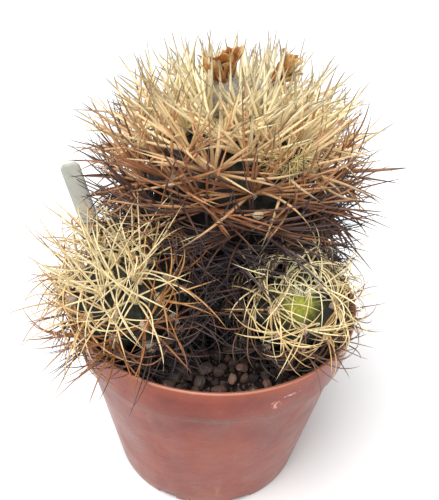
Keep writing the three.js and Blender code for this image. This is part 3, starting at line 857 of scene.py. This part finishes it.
# How much single spines vary about their head's style, as factors
LENGTHS = (0.75, 1.12)
WRAPS = (0.6, 1.3)
THICKS = (0.75, 1.1)
SHADES = (0.72, 1.18)

# Lift of the stiff spines and its scatter, and the least and most lift of any spine, in degrees
STIFF_LIFT = (66, 10)
LEAST_LIFT, MOST_LIFT = 14, 88

# What else sets the stiff spines apart, as factors
STIFF_SWAY = 0.4
STIFF_WRAP = 0.3
STIFF_THICK = 1.15

# Scatter of the direction round the areole, in degrees, and of the root; how far the root is lifted;
# and by how much a spine that is drawn again follows the head less
TURN_SCATTER = 12
ROOT_SCATTER = 0.4 * MM
ROOT_LIFT = 0.8 * MM
EASE = 0.85

# Scatter of a spine's colours in the palettes and of where the tip colour starts. On average a tip
# is TIP_AHEAD further down its palette than its areole is down the head.
ROOT_TONE, TIP_TONE = 0.035, 0.02
TIP_AHEAD = 0.19
START_SCATTER = 0.08


def grow(areole, style):
    """One areole's spines in batches: a few stiff ones that stand out, the rest lower and curved.

    A batch has its centrelines, radii and colours. What hits something is drawn again in the next.
    """
    head = areole.head
    low = head.lowness(areole.distance)
    offset = (areole.place - head.centre) / head.radius
    # painted light: spines high on a head move up the palette, paler, and low ones down it, darker
    tone = low - style["painted_top_light"] * offset[2] + style["flank"] * offset[0]
    tone += rng.normal(0, style["uneven"])
    tone -= style["rear"] * (offset[1] + 0.5)

    def at(key):
        return np.interp(low, (0, 0.5, 1), style[key])

    if areole.distance < style["bald"] * MM:
        return
    thinned = style["open_back"] * max(0, offset[1]) * max(0, 1 - 2 * low)
    count = round(at("count") * (1 - thinned))
    pending = np.arange(count)
    stiff = pending < at("stiff") * count
    turned = rng.uniform(0, 360)
    fan = at("fan") / 180
    for attempt in range(TRIES):
        n = len(pending)
        standing = stiff[pending]
        azimuth = fan * ((turned + 360 * pending / count) % 360 - 180) + rng.normal(0, TURN_SCATTER, n)
        azimuth = azimuth + at("sideways") * SIDEWAYS_SHIFT * np.sin(np.radians(2 * azimuth))
        lift = np.where(standing, rng.normal(*STIFF_LIFT, n), rng.normal(at("lift"), at("spread"), n))
        direction = areole.aim(azimuth, np.clip(lift, LEAST_LIFT, MOST_LIFT))
        across = unit(np.cross(direction, rng.normal(0, 1, (n, 3))))
        sway = across * rng.normal(0, at("sway"), n)[:, None] * np.where(standing, STIFF_SWAY, 1)[:, None]
        length = at("length") * MM * rng.uniform(*LENGTHS, n)
        wrap = at("wrap") * rng.uniform(*WRAPS, n) * np.where(standing, STIFF_WRAP, 1) * EASE ** attempt
        start = areole.place + ROOT_LIFT * direction + ROOT_SCATTER * rng.normal(0, 1, (n, 3))
        lines = centrelines(start, direction, length, sway, head, wrap, at("droop"))
        clear = ~hits_something(lines, head)
        if clear.any():
            kept = clear.sum()
            where = np.full(kept, tone)
            root = pick(style["roots"], where, ROOT_TONE)
            tip = pick(style["tips"], where + rng.exponential(TIP_AHEAD, kept), TIP_TONE)
            dark_from = np.clip(at("dark_from") + rng.normal(0, START_SCATTER, kept), 0.05, 0.95)
            colours = shade_along(root, tip, dark_from, rng.uniform(*SHADES, kept))
            stout = np.where(standing[clear], STIFF_THICK, 1)
            thick = at("thick") * MM * stout * rng.uniform(*THICKS, kept)
            yield drawn_in(lines[clear], head), thick, colours
        pending = pending[~clear]
        if not len(pending):
            return


def build_spines(head):
    """A mesh of spines for each rib of a head. Gives back the areoles of each rib."""
    look = spine_material(f"{head.name}_spine_look")
    rows = areoles_of(head)
    for rib, row in enumerate(rows, 1):
        batches = [batch for areole in row for batch in grow(areole, STYLES[head.name])]
        name = f"{head.name}_spines_{rib:02d}"
        mesh = tube_mesh(name, *(np.concatenate(values) for values in zip(*batches)))
        mount(new_object(name, mesh, look), f"{head.name}_spines", f"{head.name}_spines_rib_{rib:02d}")
    return rows


def lump(centre, radii, detail, rough, seed, axes=np.eye(3)):
    """Points and faces of a knobbly rounded lump with a radius along each of its axes."""
    bm = bmesh.new()
    bmesh.ops.create_icosphere(bm, subdivisions=detail, radius=1)
    points = np.array([v.co for v in bm.verts])
    faces = [[v.index for v in f.verts] for f in bm.faces]
    bm.free()
    bumps = np.array([fbm(p + seed, 1.6) for p in points])
    points = points * (1 + rough * bumps)[:, None] * np.array(radii)
    return centre + points @ np.array(axes), faces


def tinted(name, lumps, tints, material, smooth=False):
    """One object of several lumps, each in a tint of its own."""
    points, faces, colours, start = [], [], [], 0
    for (part, corners), tint in zip(lumps, tints):
        points.append(part)
        faces += [[i + start for i in face] for face in corners]
        colours.append(np.repeat(tint[None], len(part), 0))
        start += len(part)
    mesh = mesh_from(name, np.concatenate(points), faces)
    paint(mesh, np.concatenate(colours))
    return new_object(name, mesh, material, smooth)


def soft_piece(name, shape, tint, slot, *nodes):
    """A piece of one soft lump in one tint, which may stand for CAD nodes."""
    mount(tinted(name, [shape], [linear(tint)], WOOL_LOOK, True), slot, *nodes)


# Size of the felt knobs, as a fraction of the areole spacing, and their colour from the crown down
FELT = {
    "main": (0.15, ["D9CDB4", "B9A48C", "968A86", "6E6664", "4A4444"]),
    "left": (0.19, ["DFC98E", "DCC79A", "D6BCA0", "A08C80", "5A5150"]),
    "right": (0.17, ["EAE4D4", "DDC2AC", "CFA995", "8F7C74", "5A5150"]),
}


def build_felt(head, rows):
    """The felt cushion of every areole on a head: a fuzzy knob, longer up and down the rib than across."""
    share, palette = FELT[head.name]
    lumps, tints = [], []
    for areole in sum(rows, []):
        if areole.distance < STYLES[head.name]["bald"] * MM:
            continue
        size = head.spacing * share * rng.uniform(0.85, 1.2)
        axes = (areole.tip, areole.across, areole.out)
        place = areole.place + 0.2 * size * areole.out
        radii = (size * 1.3, size * 0.9, size * 0.9)
        lumps.append(lump(place, radii, 2, 0.35, rng.uniform(0, 50, 3), axes))
        tints.append(pick(palette, np.array([head.lowness(areole.distance)]), 0.08)[0])
    felt = tinted(f"{head.name}_areole_felt", lumps, tints, felt_material(f"{head.name}_felt_look"), True)
    mount(felt, f"{head.name}_spines")


# ---------------- crown

def hairs(name, roots, directions, length, thick, palette, slot, material, curl=0.5):
    """A piece of fine curly hairs rooted at points."""
    n = len(roots)
    direction = unit(directions + rng.normal(0, 0.35, (n, 3)))
    across = unit(np.cross(direction, rng.normal(0, 1, (n, 3))))
    lengths = length * rng.uniform(0.5, 1.2, n)
    lines = centrelines(roots, direction, lengths, across * rng.normal(0, curl, n)[:, None])
    root = pick(palette, rng.uniform(0, 1, n), 0.05)
    colours = shade_along(root, root * 0.9, np.full(n, 0.5), rng.uniform(0.85, 1.1, n))
    mesh = tube_mesh(name, lines, np.full(n, thick), colours)
    return mount(new_object(name, mesh, material), slot)


def build_crown():
    """Wool in the growing tip, two woolly fruits, and the withered flowers on them."""
    centre, size = centre_and_half("main_crown_wool")
    pad = lump(centre, size * (1.05, 1.05, 1), 4, 0.25, np.zeros(3))
    soft_piece("main_crown_wool_pad", pad, "D8D2C4", "wool", "main_crown_wool")
    hair_look = spine_material("wool_hair_look")
    for i in (1, 2):
        node = f"woolly_fruit_{i}"
        centre, size = centre_and_half(node)
        body = lump(centre, size, 4, 0.16, np.full(3, 9.0 * i))
        soft_piece(f"{node}_body", body, "C9C4BA", "wool", node)
        spots = unit(rng.normal(0, 1, (420, 3)))
        spots = spots[spots[:, 2] > -0.6]
        hairs(f"{node}_hair", centre + spots * size * 0.97, spots + (0, 0, 0.5), 4 * MM, 0.08 * MM,
              ["E4DFD4", "C4BEB2", "A39C90"], "wool", hair_look, 1.6)
    build_flower(1, 9, 3.6)
    build_flower(2, 6, 2.8)


# Each flower draws from a generator of its own, so that its petals don't change when the spines do
FLOWER_SEEDS = (21, 22)
PETAL_TINTS = ["36190C", "6B3817", "A86328", "D2A25E", "EDD6A6"]
PETAL_ROWS, PETAL_COLUMNS = 18, 8

# How wide the petals of the outer, middle and inner layer spread, as a share of the CAD flower
LAYERS = (1.05, 0.8, 0.55)

# How far petals crumple, how deep they are pleated, and how ragged their ends are
CRUMPLE = 1.7 * MM
PLEAT = 0.25 * MM
RAGGED = 2.4 * MM


def petal(foot, axis, reach, angle, layer, blade, length, draw):
    """Points, row by row, and tones of one withered petal. reach has the flower's two sideways vectors."""
    tall = length * draw.uniform(0.72, 1.04)
    twist, curl, seed = draw.uniform(-0.9, 0.9), draw.uniform(-0.3, 0.3), draw.uniform(0, 90)
    # inner layers are darker: painted shade inside the flower
    shade = draw.uniform(-0.1, 0.35) - 0.25 * (1 - layer)
    points, tones = [], []
    for k in range(PETAL_ROWS + 1):
        t = k / PETAL_ROWS
        flare = layer * (0.16 + 0.84 * t ** 1.2 - curl * max(0, t - 0.75) * 3)
        turn = angle + 0.35 * twist * t
        out = math.cos(turn) * reach[0] + math.sin(turn) * reach[1]
        middle = foot + out * flare + axis * tall * t
        edge = unit(np.cross(axis, unit(out)) + twist * t * unit(out))
        face = np.cross(edge, axis)
        half = blade * (0.3 + 0.7 * t ** 0.7)
        for m in range(PETAL_COLUMNS + 1):
            q = 2 * m / PETAL_COLUMNS - 1
            crumple = CRUMPLE * t ** 0.5 * noise.noise(Vector((seed + 3 * q, 5 * t, seed)))
            pleat = PLEAT * math.sin(9 * q + seed)
            torn = axis * RAGGED * t ** 4 * (noise.noise(Vector((seed, 3.5 * q, seed))) - 0.3)
            fold = 0.55 * half * q * q
            points.append(middle + edge * half * q + face * (crumple + pleat - fold) + torn)
            # tones rise towards a petal's tip and edges: the petals' own brown to amber, with painted
            # shade low in the flower and painted highlight on tips and edges
            tones.append(shade + 0.5 * t + 0.3 * q * q)
    return points, tones


def build_flower(number, petals, width):
    """A withered flower along its CAD node: crumpled papery petals in a loose ragged tube."""
    node = f"dried_flower_{number}"
    draw = np.random.default_rng(FLOWER_SEEDS[number - 1])
    centre, half = centre_and_half(f"woolly_fruit_{number}")
    foot = centre + (0, 0, half[2] / 2)
    offsets = points_of(node) - foot
    reaches = norm(offsets, axis=1)
    axis = unit(offsets[reaches > 0.8 * reaches.max()].mean(0))
    side = unit(np.cross([0, 1.0, 0], axis))
    along = offsets @ axis
    length = along.max()
    upper = offsets[along > 0.5 * length]
    reach = [way * np.abs(upper @ way).max() for way in (side, np.cross(axis, side))]
    points, faces, tones = [], [], []
    for p in range(petals):
        angle = 2 * math.pi * p / petals + draw.uniform(-0.25, 0.25)
        blade = width * MM * draw.uniform(0.8, 1.3)
        faces += sheet_faces(PETAL_ROWS, PETAL_COLUMNS, len(points))
        more, shades = petal(foot, axis, reach, angle, LAYERS[p % 3], blade, length, draw)
        points += more
        tones += shades
    name = f"{node}_petals"
    mesh = mesh_from(name, points, faces)
    paint(mesh, pick(PETAL_TINTS, np.array(tones), 0.03))
    piece = new_object(name, mesh, PETAL_LOOK)
    thicken(piece, 0.18 * MM)
    mount(piece, "dried_petals", node)


def build_young_tip(head):
    """Short pale new spines fanning up from the growing tip of an offset."""
    up = unit(np.array([0, 0, 1.0]) - head.axis[2] * head.axis)
    side = np.cross(up, head.axis)
    root = head.centre + head.up * head.axis + 2.5 * MM * up - 0.6 * MM * head.axis
    fan = rng.uniform(-1.5, 1.5, 34)[:, None]
    directions = np.cos(fan) * up + np.sin(fan) * side + 0.4 * head.axis
    roots = root + 1.8 * MM * np.sin(fan) * side + 0.5 * MM * rng.normal(0, 1, (len(fan), 3))
    hairs(f"{head.name}_young_spines", roots, directions, 10 * MM, 0.2 * MM,
          ["F2EBCF", "DDD6B4", "C9BE92"], f"{head.name}_spines", spine_material("young_spine_look"), 0.8)


# ---------------- mix, gravel and label

def mix_height(x, y):
    return MIX_TOP - 0.9 * MM + 0.9 * MM * fbm((x, y, 0), 110, 4)


def build_mix():
    """The body of mix in the pot, with a crumbly uneven top. Its points run from the top down."""
    rings, sides = 70, 180
    angles = [2 * math.pi * i / sides for i in range(sides)]
    points = [(0, 0, mix_height(0, 0))]
    for k in range(1, rings + 1):
        r = MIX_RADIUS * k / rings
        for a in angles:
            x, y = r * math.cos(a), r * math.sin(a)
            points.append((x, y, mix_height(x, y)))
    for a in angles:
        points.append((MIX_FOOT_RADIUS * math.cos(a), MIX_FOOT_RADIUS * math.sin(a), MIX_LOW.z))
    points.append((0, 0, MIX_LOW.z))
    mesh = mesh_from("potting_mix_body", points, shell_faces(rings + 1, sides))
    mesh.flip_normals()
    mount(new_object("potting_mix_body", mesh, MIX_LOOK), "potting_mix", "potting_mix")


def rock(centre, radii, seed, detail):
    """A stone with flat broken faces: a ball cut back by a few planes."""
    points, faces = lump(np.zeros(3), (1, 1, 1), detail, 0.12, seed)
    for normal in unit(np.random.default_rng(int(seed[0] * 1000)).normal(0, 1, (9, 3))):
        over = points @ normal - 0.74
        points = points - np.where(over > 0, over, 0)[:, None] * normal * 0.85
    turn = np.linalg.qr(np.random.default_rng(int(seed[1] * 1000)).normal(0, 1, (3, 3)))[0]
    return centre + (points @ turn) * np.array(radii), faces


STONE_TINTS = ["38231D", "4C332B", "604137", "704E42", "483B36", "7C5C4E", "574840"]
GRIT_TINTS = ["201815", "2E211C", "402D26", "4E362D", "2E2926", "5C4136", "52463E"]

# Sizes of grit, as radius and number of grains, largest first
GRIT = ((2.5 * MM, 420), (1.7 * MM, 800), (1.1 * MM, 1400), (0.65 * MM, 2000))


def build_gravel():
    """The named stones at their CAD places, and finer grains scattered between them."""
    taken = []
    for node in STONES:
        centre, size = centre_and_half(node)
        stone = rock(centre, size * 1.08, rng.uniform(1, 50, 3), 3)
        tint = pick(STONE_TINTS, rng.uniform(0, 1, 1), 0)
        mount(tinted(f"{node}_rock", [stone], tint, STONE_LOOK), "gravel", node)
        taken.append((centre[0], centre[1], size[0]))
    lumps = []
    for radius, count in GRIT:
        for _ in range(count):
            a = rng.uniform(0, 2 * math.pi)
            r = GRIT_RADIUS * math.sqrt(rng.uniform(0, 1))
            x, y = r * math.cos(a), r * math.sin(a)
            size = radius * rng.uniform(0.75, 1.25)
            near = np.array(taken)
            crowded = (np.hypot(near[:, 0] - x, near[:, 1] - y) < 0.74 * (near[:, 2] + size)).any()
            place = np.array([x, y, mix_height(x, y) + size * 0.25])
            if not crowded and not any(head.contains(place, 0.3 * size) for head in HEADS.values()):
                taken.append((x, y, size))
                detail = 2 if radius > 1.2 * MM else 1
                radii = size * rng.uniform(0.75, 1.2, 3)
                lumps.append(rock(place, radii, rng.uniform(1, 50, 3), detail))
    tints = pick(GRIT_TINTS, rng.uniform(0, 1, len(lumps)) ** 1.3, 0.05)
    mount(tinted("fine_grit", lumps, tints, STONE_LOOK), "gravel")


def build_caught_fibres():
    """A tuft of dry curly moss caught among the spines on the front right of the main stem."""
    centre = HEADS["main"].centre + (19.5 * MM, -32 * MM, 22 * MM)
    spots = rng.normal(0, 1, (170, 3))
    hairs("caught_moss_fibres", centre + spots * (3.6 * MM, 2 * MM, 2 * MM), spots, 8 * MM, 0.14 * MM,
          ["AE9850", "D3BE7C", "E8DAA4", "8F7C46"], "dried_petals", spine_material("moss_look"), 3.5)


def build_caught_seed():
    """A pale seed lodged between the spines in front of the main stem."""
    place = HEADS["main"].centre + (9.0 * MM, -48 * MM, 9 * MM)
    seed = lump(place, (1.9 * MM, 1.1 * MM, 1.4 * MM), 3, 0.15, np.zeros(3))
    soft_piece("caught_seed", seed, "CDB791", "dried_petals")


def build_label():
    """A blank plastic strip with rounded top corners, bowed a little, along its CAD plate."""
    vertices = points_of("plant_label")
    foot = vertices[vertices[:, 2] < vertices[:, 2].min() + 0.5 * MM].mean(0)
    top = vertices[vertices[:, 2] > vertices[:, 2].max() - 6 * MM].mean(0)
    long = unit(top - foot)
    across = unit(np.cross([0, 1.0, 0], long))
    face = np.cross(across, long)
    length = norm(top - foot)
    rows, columns = 60, 6
    points = []
    for k in range(rows + 1):
        t = k / rows * length
        half = LABEL_HALF * min(1, 0.04 + t / LABEL_POINT)
        near = length - t
        if near < LABEL_CORNER:
            half -= LABEL_CORNER - math.sqrt(LABEL_CORNER ** 2 - (LABEL_CORNER - near) ** 2)
        bow = LABEL_BOW * math.sin(math.pi * k / rows)
        for m in range(columns + 1):
            points.append(foot + long * t + across * half * (2 * m / columns - 1) + face * bow)
    mesh = mesh_from("plant_label_strip", points, sheet_faces(rows, columns))
    label = new_object("plant_label_strip", mesh, LABEL_LOOK)
    thicken(label, LABEL_THICK)
    mount(label, "label_plastic", "plant_label")


# ---------------- stage

def build_surroundings():
    """White all round for the camera, but a dimmer sky for the light that falls on the plant."""
    world = bpy.data.worlds.new("soft_white")
    sky = NodeTree(world)
    dim = sky.node("Background", "Background", {"Color": (1, 1, 1, 1), "Strength": 0.45})
    white = sky.node("Background", "Background", {"Color": (1, 1, 1, 1), "Strength": 1.0})
    seen = sky.node("LightPath", "Is Camera Ray", {})
    both = sky.node("MixShader", "Shader", {"Fac": seen, 1: dim, 2: white})
    sky.feed(both, sky.tree.nodes["World Output"].inputs["Surface"])
    bpy.context.scene.world = world


def add_light(name, kind, place, aim, **settings):
    """A light at a place, turned to face another."""
    light = bpy.data.lights.new(name, kind)
    for key, value in settings.items():
        setattr(light, key, value)
    lamp = in_scene(name, light)
    lamp.location = place
    lamp.rotation_euler = (Vector(aim) - lamp.location).to_track_quat("-Z", "Y").to_euler()


def build_stage():
    """A wide pale floor just under the pot, a soft sun and a faint light from the front."""
    floor_look = Shader("floor_look", 0.9, Base_Color=(0.86, 0.86, 0.86, 1))
    corners = [(-6.0, -6.0, 0), (6.0, -6.0, 0), (6.0, 6.0, 0), (-6.0, 6.0, 0)]
    floor = new_object("floor", mesh_from("floor", corners, [(0, 1, 2, 3)]), floor_look.material)
    floor.location.z = -0.2 * MM
    build_surroundings()
    add_light("sky_light", "SUN", (0, 0, 0), (0.3, 0.35, -1), energy=4.0, angle=math.radians(50))
    add_light("fill_light", "AREA", (0.25, -0.9, 0.35), (0, 0, 0.1), energy=2.5, size=0.9)


def build_camera():
    """The photo's camera."""
    data = bpy.data.cameras.new("camera")
    data.lens = CAMERA_LENS
    data.clip_start = 0.01
    camera = in_scene("camera", data)
    turn = (CAMERA_AIM - CAMERA_PLACE).to_track_quat("-Z", "Y").to_matrix().to_4x4()
    camera.matrix_world = Matrix.Translation(CAMERA_PLACE) @ turn @ Matrix.Rotation(CAMERA_ROLL, 4, "Z")
    bpy.context.scene.camera = camera


# ---------------- assembly

bpy.context.scene.view_settings.view_transform = "Standard"
build_camera()
build_stage()
build_pot()
build_mix()
build_gravel()
build_label()
build_caught_fibres()
build_caught_seed()
for one_head in HEADS.values():
    build_stem(one_head)
for one_head in HEADS.values():
    build_felt(one_head, build_spines(one_head))
build_young_tip(HEADS["right"])
build_crown()

bpy.context.view_layer.update()
